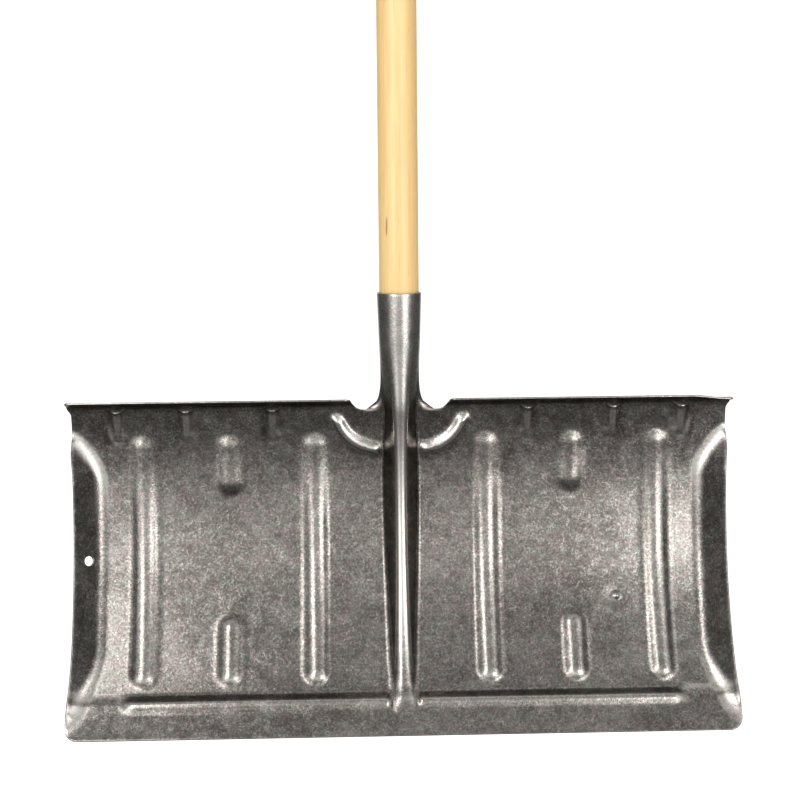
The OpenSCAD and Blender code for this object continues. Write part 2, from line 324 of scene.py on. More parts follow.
def bead(e, s):
    """The curved bead beside the neck, with a fine second line round its outside."""
    out = np.hypot(e - BEAD_X, s - BEAD_S) - BEAD_R
    swell = arch(out * np.where(out > 0, BEAD_STEEP, 1), BEAD_H, BEAD_CREST, BEAD_FOOT, BEAD_FLANK)[0]
    line = BEAD_LINE_H * bell(out - BEAD_LINE_OUT, BEAD_LINE_W)
    return (swell + line) * fade(s, *BEAD_TOP_FADE) * fade(e, *BEAD_IN_FADE)


def ridge(e, s):
    """The ridge above the cutting edge, and the step that it leaves below."""
    up = fade(s, RIDGE_S - RIDGE_UP, RIDGE_S)
    down = fade(s, RIDGE_S, RIDGE_S + RIDGE_DOWN)
    along = fade(e, *RIDGE_IN_FADE) * fade(e, *RIDGE_OUT_FADE)
    return EDGE_LIFT * up + (RIDGE_H - EDGE_LIFT) * up * (1 - down) * along


def flange_share(s):
    """Share of the flange's full width at s: a quarter wave up, level, then over a soft knee down to 0."""
    start, full, fall, end = FLANGE_S
    rising = np.sin(math.pi / 2 * clamp01((s - start) / (full - start)))
    left = (end - s) / (end - fall)
    low, high = 1 - FLANGE_KNEE, 1 + FLANGE_KNEE
    knee = 1 - (high - np.clip(left, low, high)) ** 2 / (4 * FLANGE_KNEE)
    falling = np.where(left < low, np.maximum(left, 0), knee)
    return np.where(s <= start, 0, np.minimum(rising, falling))


def flange(e, s):
    """The flange's slope out from its crease, which is rounded, more so near both ends."""
    share = flange_share(s)
    d = e - HALF_W + FLANGE_W * share
    rounder = 1 + ROUND_TOP_MORE * fade(s, *ROUND_TOP_FADE) + ROUND_LOW_MORE * fade(s, *ROUND_LOW_FADE)
    half = FLANGE_ROUND / 2 * rounder
    rise = np.where(d <= -half, 0, np.where(d >= half, d, (d + half) ** 2 / (4 * half)))
    return FLANGE_TAN * rise * clamp01(FLANGE_START * share)


def darts(e, s):
    """Straight gussets across the lip's bend, narrower towards both ends."""
    total = np.zeros(np.broadcast(e, s).shape)
    for middle in DART_X:
        below = (DART_DOWN - s) / (DART_DOWN - DART_PEAK)
        above = (s + DART_UP) / (DART_PEAK + DART_UP)
        reach = clamp01(np.minimum(below, above))
        half = DART_W / 2 * mix(DART_END_SHARE, 1, reach)
        total = np.maximum(total, DART_H * reach * ease(1 + DART_CREST_SHARE - np.abs(e - middle) / half))
    return total


def dent(x, s):
    """A small knock that stands proud of the panel, with a shallow ring sunk round it."""
    r = np.hypot(x - DENT_X, s - DENT_S)
    return DENT_H * bell(r, DENT_R) - DENT_SINK * bell(r, DENT_SINK_R)


def waves(x, s):
    """The sheet's slight unevenness between its pressed features."""
    long_wave = LONG_WAVE * np.sin(x / 31 + 0.8 * np.sin(s / 47)) * np.sin(s / 39 + 1.1)
    short_wave = SHORT_WAVE * np.sin(x / 11.3 + s / 17 + 0.6) * np.sin(s / 9.1 - x / 23)
    inside = fade(s, 0, 18) * fade(s, PANEL_LEN, PANEL_LEN - 30) * fade(np.abs(x), 22, 42)
    return (long_wave + short_wave) * inside


def relief(x, s):
    """Height of the sheet's front face over the plain curve."""
    e = np.abs(x)
    pressed = spine(x, s)[0] + ribs(e, s) + bead(e, s) + ridge(e, s) + flange(e, s)
    return np.where(s < 0, 0, pressed + dent(x, s) + waves(x, s)) + darts(e, s)


# ---------------------------------------------------------------- blade: points of the front face
def half_width(s):
    """Half the blade's width: drawn in by the flanges and below the lip's tips, round at the low corners."""
    into = np.maximum(0, s - PANEL_LEN + CORNER_R)
    corner = CORNER_R - np.sqrt(np.maximum(0, CORNER_R**2 - into**2))
    step = LIP_STEP * fade(s, *STEP_FADE) * fade(s, *STEP_LOW_FADE)
    return HALF_W - np.maximum(FLANGE_DRAW * flange_share(s), step) - corner


def panel_point(x, s):
    """The panel: an arc of CURVE_R in side view, with the relief towards its centre."""
    a = CURVE_TOP - s / CURVE_R
    r = CURVE_R - relief(x, s)
    return np.stack([x + 0 * s, CURVE_Y + r * np.cos(a), CURVE_Z + r * np.sin(a)], -1)


def lip_point(x, s):
    """The lip, where s < 0: an arc of LIP_R, then straight. It droops towards its tip on the +X side."""
    full = LIP_BEND + LIP_DROOP * fade(x, HALF_W - DROOP_RUN, HALF_W)
    turn = np.minimum(full, -s / LIP_R)
    a = CURVE_TOP + turn
    straight = -s - LIP_R * turn
    h = relief(x, s)
    y = CURVE_Y + CURVE_R * math.cos(CURVE_TOP) + LIP_R * (np.cos(a) - math.cos(CURVE_TOP))
    z = BEND_Z + LIP_R * (np.sin(a) - math.sin(CURVE_TOP))
    forward = y - straight * np.sin(a) - h * np.cos(a)
    up = z + straight * np.cos(a) - h * np.sin(a)
    return np.stack([x + 0 * s, forward, up], -1)


def neck_point(x, share, v):
    """Outer face of the neck and socket at height v above the bend.

    The strip's section at the bend wraps round to a tube: its front within NECK_H, its webs within WEB_H.
    """
    root = panel_point(x, np.zeros_like(x))
    r = SOCKET_R - SOCKET_TAPER * (SOCKET_H - v)
    share = np.abs(share)
    foot = SPINE_COLS / STRIP_COLS
    turn = np.sign(x) * SEAM_TURN * np.interp(share, [0, foot, 1], [0, FRONT_TURN, 1])
    t = clamp01(v / mix(NECK_H, WEB_H, fade(share, foot - WEB_SOFT, 1)))
    w = 1 - (1 - t) ** NECK_EASE
    tube = np.stack([r * np.sin(turn), AXIS_Y - r * np.cos(turn), np.full_like(v, BEND_Z)], -1)
    root[..., 1] -= math.tan(CURVE_TOP) * NECK_RUN * (1 - np.exp(-v / NECK_RUN))
    point = mix(root, tube, w[..., None])
    point[..., 2] += v
    return point


# ---------------------------------------------------------------- blade: rows and columns
def graded(start, stop, count, peaks):
    """count + 1 places from start to stop, closer together round each peak (middle, reach, weight)."""
    fine = np.linspace(start, stop, 4001)
    density = np.ones_like(fine)
    for middle, reach, weight in peaks:
        density += weight * bell(fine - middle, reach)
    total = np.concatenate([[0], np.cumsum((density[1:] + density[:-1]) / 2)])
    return np.interp(np.linspace(0, total[-1], count + 1), total, fine)


# Where the columns and the rows are closer together: middle, reach, weight. 254 is by the flange's
# crease, 46 by the bead, 12 by the darts and 235 by the ridge.
FINE_COLS = [(k * RIB_PITCH, 13, 1.5) for k in (1, 2, 3)] + [(x, 8, 1.2) for x in DART_X]
FINE_COLS += [(DENT_X, 5, 1.6), (254, 16, 2.6), (46, 14, 1.6)]
FINE_ROWS = [(12, 20, 1.2), (HANG_S, 12, 1.2), (DENT_S, 6, 2.0), (RIB_SHORT_LOW, 8, 0.8)]
FINE_ROWS += [(235, 24, 1.2), (PANEL_LEN, 8, 0.6)]

# How many columns and rows each stretch has. Columns up to STILL_X follow the notch on the lip, and those
# beyond FOLLOW_X follow the side edge. Round the hole, HOLE_RING cells open and HOLE_CELLS cells give way.
SPINE_COLS = 26
FOOT_COLS = 10
STRIP_COLS = SPINE_COLS + FOOT_COLS
OUTER_COLS = 105
NECK_ROWS = 44
LIP_ROWS = 14
PANEL_ROWS = 145
STILL_X = 70.0
FOLLOW_X = 236.0
HOLE_CELLS = 6
HOLE_RING = 3
RING_EASE = 1.3
SECTION_POINTS = 241
TURN_WEIGHT = 3


def strip_columns(s):
    """x of the columns from the middle to the notch for each s, spaced by the section's length and turn."""
    half = spine(0.0, s)[1]
    d = half[:, None] * np.linspace(0, 1, SECTION_POINTS)
    h = spine(d, s[:, None])[0]
    across, up = np.diff(d, axis=1), np.diff(h, axis=1)
    turn = np.abs(np.diff(np.arctan2(up, across), axis=1, prepend=0))
    steps = np.cumsum(np.hypot(across, up) + TURN_WEIGHT * turn, axis=1)
    length = np.concatenate([np.zeros((len(s), 1)), steps], axis=1)
    share = np.linspace(0, 1, SPINE_COLS + 1)
    on_spine = np.array([np.interp(share * total[-1], total, places) for total, places in zip(length, d)])
    to_notch = np.linspace(0, 1, FOOT_COLS + 1)[1:]
    beyond = half[:, None] + (NOTCH_X - NOTCH_FLAT - half[:, None]) * to_notch
    return np.concatenate([on_spine, beyond], axis=1)


def outer_columns(s):
    """x of the columns from the notch to the side edge, for each s. Beyond FOLLOW_X they follow the edge."""
    straight = graded(NOTCH_X + NOTCH_FLAT, HALF_W, OUTER_COLS, FINE_COLS)
    share = clamp01((straight - FOLLOW_X) / (HALF_W - FOLLOW_X))
    edge = (half_width(s) - EDGE_ROUND)[:, None]
    return np.where(straight <= FOLLOW_X, straight + 0 * edge, mix(FOLLOW_X, edge, share))


def lip_columns(s):
    """The outer columns on the lip. Its inner end follows the round notch, and its two tips are rounded."""
    x = outer_columns(np.zeros(len(s)))
    rise = lip_point(np.full(len(s), NOTCH_X), s)[:, 2] - BEND_Z
    flat = NOTCH_R - math.sqrt(NOTCH_R**2 - NOTCH_FLAT**2)
    inner = NOTCH_X + np.sqrt(NOTCH_R**2 - (NOTCH_R - rise - flat) ** 2)
    near_inner = np.maximum(0, -s - LIP_LEN + INNER_TIP_R)
    near_outer = np.maximum(0, -s - LIP_LEN + TIP_R)
    inner = inner + INNER_TIP_R - np.sqrt(INNER_TIP_R**2 - near_inner**2)
    outer = half_width(s) - EDGE_ROUND - TIP_R + np.sqrt(TIP_R**2 - near_outer**2)
    low, high = NOTCH_X + NOTCH_FLAT, x[0, -1]
    inner_part = inner[:, None] + (x - low) * (STILL_X - inner[:, None]) / (STILL_X - low)
    outer_part = FOLLOW_X + (x - FOLLOW_X) * (outer[:, None] - FOLLOW_X) / (high - FOLLOW_X)
    return np.where(x < STILL_X, inner_part, np.where(x > FOLLOW_X, outer_part, x))


def both_sides(half):
    """Columns from the middle outwards, mirrored to the other side: column 0 is at the far left."""
    return np.concatenate([-half[:, :0:-1], half], axis=1)


def open_hole(x, s, cells):
    """Moves the grid points near the hanging hole on to rings round it, and opens the cells inside."""
    middle = x.shape[1] // 2
    j0 = int(np.argmin(np.abs(s[:, middle] - HANG_S)))
    i0 = int(np.argmin(np.abs(x[j0] - HANG_X)))
    r = HOLE["dims"]["r_mm"] + EDGE_ROUND
    r_x = r * math.cos(math.atan(FLANGE_TAN))
    r_s = r * CURVE_R / (CURVE_R - relief(np.float64(HANG_X), np.float64(HANG_S)))
    for j in range(j0 - HOLE_CELLS, j0 + HOLE_CELLS + 1):
        for i in range(i0 - HOLE_CELLS, i0 + HOLE_CELLS + 1):
            a, b = i - i0, j - j0
            ring = max(abs(a), abs(b))
            if ring < HOLE_RING:
                continue
            eighth = math.pi / 4
            angle = eighth * b / ring
            if abs(a) != ring:
                angle = math.copysign(2 * eighth - eighth * abs(a) / ring, b)
            out_x, out_s = math.copysign(math.cos(angle), a), math.sin(angle)
            t = ((ring - HOLE_RING) / (HOLE_CELLS - HOLE_RING)) ** RING_EASE
            x[j, i] = mix(HANG_X + r_x * out_x, x[j, i], t)
            s[j, i] = mix(HANG_S + r_s * out_s, s[j, i], t)
    cells[j0 - HOLE_RING : j0 + HOLE_RING, i0 - HOLE_RING : i0 + HOLE_RING] = False


def front_face():
    """Points and quads of the sheet's front face."""
    s_rows = graded(0, PANEL_LEN - EDGE_ROUND, PANEL_ROWS, FINE_ROWS)
    v_rows = np.linspace(SOCKET_H - EDGE_ROUND, 0, NECK_ROWS + 1)[:-1]
    l_rows = -np.linspace(LIP_LEN - EDGE_ROUND, 0, LIP_ROWS + 1)[:-1]
    half_cols = STRIP_COLS + 1 + OUTER_COLS
    cols = 2 * half_cols + 1
    rows = NECK_ROWS + PANEL_ROWS + 1

    panel_x = both_sides(np.concatenate([strip_columns(s_rows), outer_columns(s_rows)], axis=1))
    panel_s = np.repeat(s_rows[:, None], cols, axis=1)
    cells = np.zeros((rows, cols), bool)
    cells[NECK_ROWS : rows - 1, : cols - 1] = True
    open_hole(panel_x, panel_s, cells[NECK_ROWS:])

    points = np.zeros((rows, cols, 3))
    points[NECK_ROWS:] = panel_point(panel_x, panel_s)

    strip = slice(half_cols - STRIP_COLS, half_cols + STRIP_COLS + 1)
    share = np.arange(-STRIP_COLS, STRIP_COLS + 1) / STRIP_COLS
    share, v = np.meshgrid(share, v_rows)
    root_x = np.repeat(panel_x[:1, strip], NECK_ROWS, axis=0)
    points[:NECK_ROWS, strip] = neck_point(root_x, share, v)
    cells[:NECK_ROWS, half_cols - STRIP_COLS : half_cols + STRIP_COLS] = True

    lip_x = lip_columns(l_rows)
    first = NECK_ROWS - LIP_ROWS
    right = slice(half_cols + STRIP_COLS + 1, cols)
    left = slice(0, half_cols - STRIP_COLS)
    points[first:NECK_ROWS, right] = lip_point(lip_x, l_rows[:, None])
    points[first:NECK_ROWS, left] = lip_point(-lip_x[:, ::-1], l_rows[:, None])
    cells[first:NECK_ROWS, half_cols + STRIP_COLS + 1 : cols - 1] = True
    cells[first:NECK_ROWS, : half_cols - STRIP_COLS - 1] = True

    index = np.arange(rows * cols).reshape(rows, cols)
    j, i = np.nonzero(cells)
    quads = np.stack([index[j, i], index[j + 1, i], index[j + 1, i + 1], index[j, i + 1]], -1)
    used, quads = np.unique(quads, return_inverse=True)
    return points.reshape(-1, 3)[used], quads.reshape(-1, 4)


# ---------------------------------------------------------------- mesh helpers
def unit(v):
    return v / np.maximum(np.linalg.norm(v, axis=-1, keepdims=True), 1e-12)


def point_normals(points, quads):
    corners = points[quads]
    face = np.cross(corners[:, 2] - corners[:, 0], corners[:, 3] - corners[:, 1])
    normals = np.zeros_like(points)
    for k in range(4):
        np.add.at(normals, quads[:, k], face)
    return unit(normals)


def bulge(points, normals, quads, passes):
    """How much each point stands out from its neighbours, per millimetre, smoothed: above 0 on a crest."""
    edges = np.concatenate([quads[:, [k, (k + 1) % 4]] for k in range(4)])
    edges = np.concatenate([edges, edges[:, ::-1]])
    a, b = edges[:, 0], edges[:, 1]
    count = np.bincount(a, minlength=len(points))
    step = points[b] - points[a]
    bend = -np.sum(step * normals[a], axis=1) / np.maximum(np.sum(step * step, axis=1), 1e-9)
    value = np.bincount(a, bend, len(points)) / count
    for _ in range(passes):
        value = (value + np.bincount(a, value[b], len(points)) / count) / 2
    return value


def rim_edges(quads, n):
    """The directed edges that only one face uses."""
    edges = np.concatenate([quads[:, [k, (k + 1) % 4]] for k in range(4)])
    return edges[~np.isin(edges[:, 0] * n + edges[:, 1], edges[:, 1] * n + edges[:, 0])]


def thick_sheet(points, quads, thickness, rounding):
    """Gives a face its thickness to the back, with rounded edges. Returns points, quads and wear.

    This value is above 0 where the surface stands out and below 0 in a hollow, on each face in its own sense.
    The steel turns it into polish and painted highlight on crests and edges, and painted shade in hollows.
    """
    n = len(points)
    normals = point_normals(points, quads)
    back = points - thickness * normals
    stand = bulge(points, normals, quads, 2)
    edges = rim_edges(quads, n)
    along = unit(points[edges[:, 1]] - points[edges[:, 0]])
    outward = np.zeros_like(points)
    for k in range(2):
        np.add.at(outward, edges[:, k], np.cross(along, normals[edges[:, k]]))
    rim = np.unique(edges)
    place = np.zeros(n, int)
    place[rim] = np.arange(len(rim))
    out = rounding * unit(outward[rim])
    share = rounding * ROUND_DEPTH / thickness
    near = mix(points[rim], back[rim], share) + out
    far = mix(points[rim], back[rim], 1 - share) + out
    a, b = edges[:, 0], edges[:, 1]
    near_a, near_b = 2 * n + place[a], 2 * n + place[b]
    far_a, far_b = near_a + len(rim), near_b + len(rim)
    all_quads = np.concatenate([
        quads, quads[:, ::-1] + n,
        np.stack([b, a, near_a, near_b], -1),
        np.stack([near_b, near_a, far_a, far_b], -1),
        np.stack([far_b, far_a, a + n, b + n], -1),
    ])
    standout = np.concatenate([stand, -stand, np.full(2 * len(rim), EDGE_STANDOUT)])
    return np.concatenate([points, back, near, far]), all_quads, standout


def place_object(name, data):
    placed = bpy.data.objects.new(name, data)
    bpy.context.scene.collection.objects.link(placed)
    return placed


def mesh_object(name, points, faces):
    mesh = bpy.data.meshes.new(name)
    mesh.from_pydata((points * MM).tolist(), [], faces)
    mesh.validate()
    mesh.shade_smooth()
    return place_object(name, mesh)


def point_values(piece, name, values):
    """Stores one number per point, which a material reads by its name."""
    layer = piece.data.attributes.new(name, "FLOAT", "POINT")
    layer.data.foreach_set("value", values.astype(np.float32))


def lathe(profile, segments):
    """Points and faces of a closed turned shape, whose profile runs up from one axis point to another."""
    ring = np.arange(segments) * 2 * math.pi / segments
    inner = np.array(profile[1:-1])
    rings = np.stack([inner[:, :1] * np.cos(ring), inner[:, :1] * np.sin(ring), inner[:, 1:] + 0 * ring], -1)
    points = np.concatenate([rings.reshape(-1, 3), [[0, 0, profile[0][1]], [0, 0, profile[-1][1]]]])
    faces = []
    low, high = len(points) - 2, len(points) - 1
    for k in range(segments):
        following = (k + 1) % segments
        for j in range(len(inner) - 1):
            at = j * segments
            faces.append((at + k, at + following, at + segments + following, at + segments + k))
        last = (len(inner) - 1) * segments
        faces.append((low, following, k))
        faces.append((high, last + k, last + following))
    return points, faces


# ---------------------------------------------------------------- material helpers
# Most of a noise lies between NOISE_LOW and NOISE_HIGH. A scratch fades out where the noise of its gaps
# falls from GAP_HIGH to GAP_LOW.
NOISE_LOW, NOISE_HIGH = 0.3, 0.7
GAP_LOW, GAP_HIGH = 0.46, 0.6


class Nodes:
    """A material's node tree, with short calls for what the materials here use."""

    def __init__(self, name):
        self.material = bpy.data.materials.new(name)
        self.material.use_nodes = True
        self.tree = self.material.node_tree
        self.shader = self.tree.nodes["Principled BSDF"]
        self.place = self.tree.nodes.new("ShaderNodeTexCoord").outputs["Object"]

    def add(self, kind, inputs, **settings):
        node = self.tree.nodes.new(kind)
        for key, value in settings.items():
            setattr(node, key, value)
        for key, value in inputs.items():
            if isinstance(value, bpy.types.NodeSocket):
                self.tree.links.new(value, node.inputs[key])
            else:
                node.inputs[key].default_value = value
        return node

    def math(self, operation, a, b=0.0, clamp=False):
        return self.add("ShaderNodeMath", {0: a, 1: b}, operation=operation, use_clamp=clamp).outputs[0]

    def stretched(self, scale, turn=(0, 0, 0)):
        inputs = {"Vector": self.place, "Scale": scale, "Rotation": turn}
        return self.add("ShaderNodeMapping", inputs).outputs[0]

    def noise(self, scale, detail=3.0, rough=0.55, distort=0.0, vector=None):
        inputs = {"Vector": vector or self.place, "Scale": scale, "Detail": detail, "Roughness": rough,
                  "Distortion": distort}
        return self.add("ShaderNodeTexNoise", inputs).outputs["Fac"]

    def span(self, value, low, high, to_low=0.0, to_high=1.0, smooth=False):
        kind = "SMOOTHSTEP" if smooth else "LINEAR"
        inputs = {"Value": value, "From Min": low, "From Max": high, "To Min": to_low, "To Max": to_high}
        return self.add("ShaderNodeMapRange", inputs, interpolation_type=kind).outputs[0]

    def swing(self, noise, amount):
        """The noise as a change between -amount and amount."""
        return self.span(noise, NOISE_LOW, NOISE_HIGH, -amount, amount)

    def scratches(self, lines, gaps, width):
        """Thin lines where one noise crosses its middle, broken up by another."""
        off_middle = self.math("ABSOLUTE", self.math("SUBTRACT", lines, 0.5))
        line = self.span(off_middle, 0.0, width, 1.0, 0.0)
        return self.math("MULTIPLY", line, self.span(gaps, GAP_LOW, GAP_HIGH))

    def blend(self, share, a, b, kind="MIX"):
        """Two colours mixed, each of them three numbers or a socket."""
        a, b = [(*colour, 1) if isinstance(colour, tuple) else colour for colour in (a, b)]
        inputs = {"Factor": share, 6: a, 7: b}
        return self.add("ShaderNodeMix", inputs, data_type="RGBA", blend_type=kind).outputs[2]

    def bump(self, height, strength, distance, normal=None):
        inputs = {"Height": height, "Strength": strength, "Distance": distance}
        if normal:
            inputs["Normal"] = normal
        return self.add("ShaderNodeBump", inputs).outputs[0]

    def finish(self, **inputs):
        for key, value in inputs.items():
            socket = self.shader.inputs[key.replace("_", " ")]
            if isinstance(value, bpy.types.NodeSocket):
                self.tree.links.new(value, socket)
            else:
                socket.default_value = value
        return self.material


def steel_material():
    """Bare pressed steel: warm grey, mottled, finely scratched, polished on crests and edges. The lift on
    crests and edges is polish and painted highlight together, hollows get painted shade, and the blade's own
    point values add further painted highlights and painted shade.
    """
    n = Nodes("steel_sheet")
    dark, light = (0.11, 0.099, 0.091), (0.62, 0.593, 0.565)
    rosy, greenish = (1.0, 0.93, 0.94), (0.95, 1.0, 0.95)
    standout = n.add("ShaderNodeAttribute", {}, attribute_name="standout").outputs["Fac"]
    painted_light = n.add("ShaderNodeAttribute", {}, attribute_name="painted_light").outputs["Fac"]
    # Crests and edges: polish and painted highlight. Hollows: painted shade.
    crest = n.span(standout, 0.004, 0.03, smooth=True)
    hollow = n.span(standout, -0.004, -0.05, smooth=True)
    patches = n.noise(9, 4, 0.6)
    mottle = n.noise(60, 5, 0.65, 0.6)
    grain = n.noise(560, 3, 0.6)
    lines = n.noise(95, 2.5, 0.5, 1.6)
    gaps = n.noise(140, 3, 0.6)
    more_lines = n.noise(170, 2, 0.5, 2.4, n.stretched((1, 1, 1), (0.4, 0.9, 1.3)))
    more_gaps = n.noise(180, 3, 0.6, 0.0, n.stretched((1, 1, 1), (1.4, 0.2, 0.3)))
    scratch = n.math("MAXIMUM", n.scratches(lines, gaps, 0.03), n.scratches(more_lines, more_gaps, 0.05))
    tone = n.math("ADD", n.swing(patches, 0.07), n.swing(mottle, 0.1))
    tone = n.math("ADD", tone, n.swing(grain, 0.17))
    # Scratches are real marks. The crest lift is polish and painted highlight, the lift from the painted
    # light values is painted highlights and painted shade at set places, and the hollow drop is painted
    # shade.
    for mark, lift in ((scratch, 0.36), (crest, 0.3), (painted_light, 0.6), (hollow, -0.05)):
        tone = n.math("ADD", tone, n.math("MULTIPLY", mark, lift))
    plain_share = 0.17
    colour = n.blend(n.math("ADD", tone, plain_share, clamp=True), dark, light)
    tint = n.blend(n.span(n.noise(130, 3, 0.6), 0.35, 0.65), rosy, greenish)
    colour = n.blend(1.0, colour, tint, "MULTIPLY")
    rough = n.span(mottle, NOISE_LOW, NOISE_HIGH, 0.2, 0.28)
    for mark, change in ((crest, -0.04), (painted_light, 0.04)):
        rough = n.math("ADD", rough, n.math("MULTIPLY", mark, change))
    normal = n.bump(scratch, 0.1, 0.0002, n.bump(grain, 0.12, 0.0003))
    return n.finish(Base_Color=colour, Metallic=1.0, Roughness=rough, Normal=normal)


def wood_material():
    """Pale straight-grained wood under a thin satin varnish."""
    n = Nodes("pale_wood")
    pale, warm = (0.765, 0.55, 0.25), (0.70, 0.475, 0.195)
    vein, pore, fleck = (0.62, 0.38, 0.15), (0.40, 0.24, 0.10), (0.20, 0.11, 0.05)
    along = n.stretched((1, 1, 0.035))
    wide = n.noise(60, 3, 0.5, 0.4, along)
    fine = n.noise(420, 4, 0.6, 0.2, along)
    pores = n.span(n.noise(900, 2, 0.5, 0.0, n.stretched((1, 1, 0.05))), 0.62, 0.72)
    flecks = n.span(n.noise(130, 1, 0.4, 0.0, n.stretched((1, 1, 0.16))), 0.735, 0.76)
    colour = n.blend(n.span(wide, NOISE_LOW, NOISE_HIGH), pale, warm)
    colour = n.blend(n.span(fine, 0.35, 0.7, 0.0, 0.45), colour, vein)
    colour = n.blend(n.math("MULTIPLY", pores, 0.25), colour, pore)
    colour = n.blend(n.math("MULTIPLY", flecks, 0.7), colour, fleck)
    rough = n.span(fine, NOISE_LOW, NOISE_HIGH, 0.38, 0.48)
    normal = n.bump(fine, 0.15, 0.0002)
    return n.finish(Base_Color=colour, Roughness=rough, Normal=normal, Coat_Weight=0.25, Coat_Roughness=0.25)


def screw_material():
    """Zinc-coated steel, lightly stained."""
    n = Nodes("screw_steel")
    stained, bright = (0.46, 0.45, 0.43), (0.72, 0.70, 0.67)
    stain = n.noise(900, 3, 0.6)
    colour = n.blend(n.span(stain, NOISE_LOW, NOISE_HIGH), stained, bright)
    rough = n.span(stain, NOISE_LOW, NOISE_HIGH, 0.25, 0.45)
    return n.finish(Base_Color=colour, Metallic=1.0, Roughness=rough)


def floor_material():
    """The studio's pale floor and backdrop, which glow a little so that they stay white."""
    n = Nodes("pale_floor")
    shade, white = (0.88, 0.88, 0.88), (0.9, 0.9, 0.9)
    colour = n.blend(n.span(n.noise(3, 2, 0.5), NOISE_LOW, NOISE_HIGH), shade, white)
    return n.finish(Base_Color=colour, Roughness=0.9, Emission_Color=(1, 1, 1, 1), Emission_Strength=0.8)


# ---------------------------------------------------------------- pieces
def take_place(piece, material, slot, *nodes):
    """Gives a piece its material, and says which body it rides and the nodes it replaces. slot is not used.
    """
    piece.data.materials.append(material)
    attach(piece, "root")
    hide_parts(*nodes)


def painted_light_places(points, standout):
    """Painted light on each point of the blade, beyond what its standing out gives: painted highlights on the
    neck, spine, crease ends, beads and darts, less painted shade beside the darts; 0 to about 1.
    """
    e, s = np.abs(points[:, 0]), BEND_Z - points[:, 2]
    on_neck = NECK_HIGHLIGHT * fade(s, -4, -34)
    on_spine = fade(e, 8.4, 2.4) * fade(s, PANEL_LEN - 60, PANEL_LEN - 120)
    crease_ends = np.maximum(fade(s, 95, 45), fade(s, 180, 230)) * fade(s, 0, 20) * fade(s, 262, 248)
    on_crease = CREASE_HIGHLIGHT * crease_ends * fade(e, 222, 232) * fade(standout, 0, -0.014)
    out = np.hypot(e - BEAD_X, s - BEAD_S) - BEAD_R
    on_bead = BEAD_HIGHLIGHT * bell(out + 2, 5) * fade(e, 16, 24) * fade(s, 0, 8)
    painted_light = np.maximum.reduce([on_neck, on_spine, on_crease, on_bead])
    under_lip = fade(s, 0, 6) * fade(s, 32, 20)
    # Along each dart: a painted highlight on its crest, painted shade on its outer flank and a painted glint
    # at its foot.
    for middle in DART_X:
        painted_light += under_lip * DART_HIGHLIGHT * bell(e - middle, 3)
        painted_light -= under_lip * DART_SHADE * bell(e - middle - 7, 4)
        painted_light += DART_GLINT * bell(np.hypot(e - middle + 5, s - 18), 2)
    return painted_light


def make_blade():
    points, quads, standout = thick_sheet(*front_face(), SHEET, EDGE_ROUND)
    piece = mesh_object("blade_sheet", points, quads.tolist())
    # How far each point stands out, which the steel turns into polish with a painted highlight on crests and
    # edges, and painted shade in hollows.
    point_values(piece, "standout", standout)
    # The blade's painted highlights and painted shade, kept as one value per point.
    point_values(piece, "painted_light", painted_light_places(points, standout))
    piece.modifiers.new("even_shading", "WEIGHTED_NORMAL").keep_sharp = True
    take_place(piece, steel_material(), "steel_sheet", "blade")


def make_handle():
    """The handle: tapered tenon in the socket, straight pole, rounded free end."""
    tenon_r = SOCKET_R - SOCKET_TAPER * (MOUTH_Z - FOOT_Z) - SHEET - TENON_GAP
    shoulder = MOUTH_Z + SHOULDER
    round_z = TOP_Z - POLE_END_R
    profile = [(0, FOOT_Z), (tenon_r - TENON_CHAMFER, FOOT_Z), (tenon_r, FOOT_Z + TENON_CHAMFER)]
    profile += [(POLE_R - TENON_TOP_IN, MOUTH_Z - TENON_TOP_DOWN), (POLE_R, shoulder)]
    profile += [(POLE_R, z) for z in np.linspace(shoulder + 4, round_z - 4, 60)]
    for turn in np.radians(np.arange(0, 91, 7.5)):
        across = POLE_R - POLE_END_R + POLE_END_R * math.cos(turn)
        profile.append((across, round_z + POLE_END_R * math.sin(turn)))
    points, faces = lathe(profile + [(0, TOP_Z)], 96)
    points[:, 1] += AXIS_Y
    piece = mesh_object("wood_handle", points, faces)
    piece.modifiers.new("even_shading", "WEIGHTED_NORMAL").keep_sharp = True
    take_place(piece, wood_material(), "pale_wood", "handle")


def screw_profile(tip, seat):
    """The screw's outline: point, shank, flat seat of the head, its rim and its dome."""
    shares = np.arange(1, 14) / 14
    profile = [(0, tip)] + [(SCREW_R * share, tip + SCREW_POINT * share) for share in shares]
    profile += [(SCREW_R, h) for h in np.linspace(tip + SCREW_POINT, seat - SCREW_GAP, 46)]
    profile += [(SCREW_HEAD_R - SCREW_CHAMFER, seat), (SCREW_HEAD_R, seat + SCREW_CHAMFER)]
    for a in np.radians(np.arange(0, 90, 4)):
        dome = (SCREW_HEAD_H - SCREW_RIM) * math.sin(a)
        profile.append((SCREW_HEAD_R * math.cos(a), seat + SCREW_RIM + dome))
    return profile + [(0, seat + SCREW_HEAD_H)]


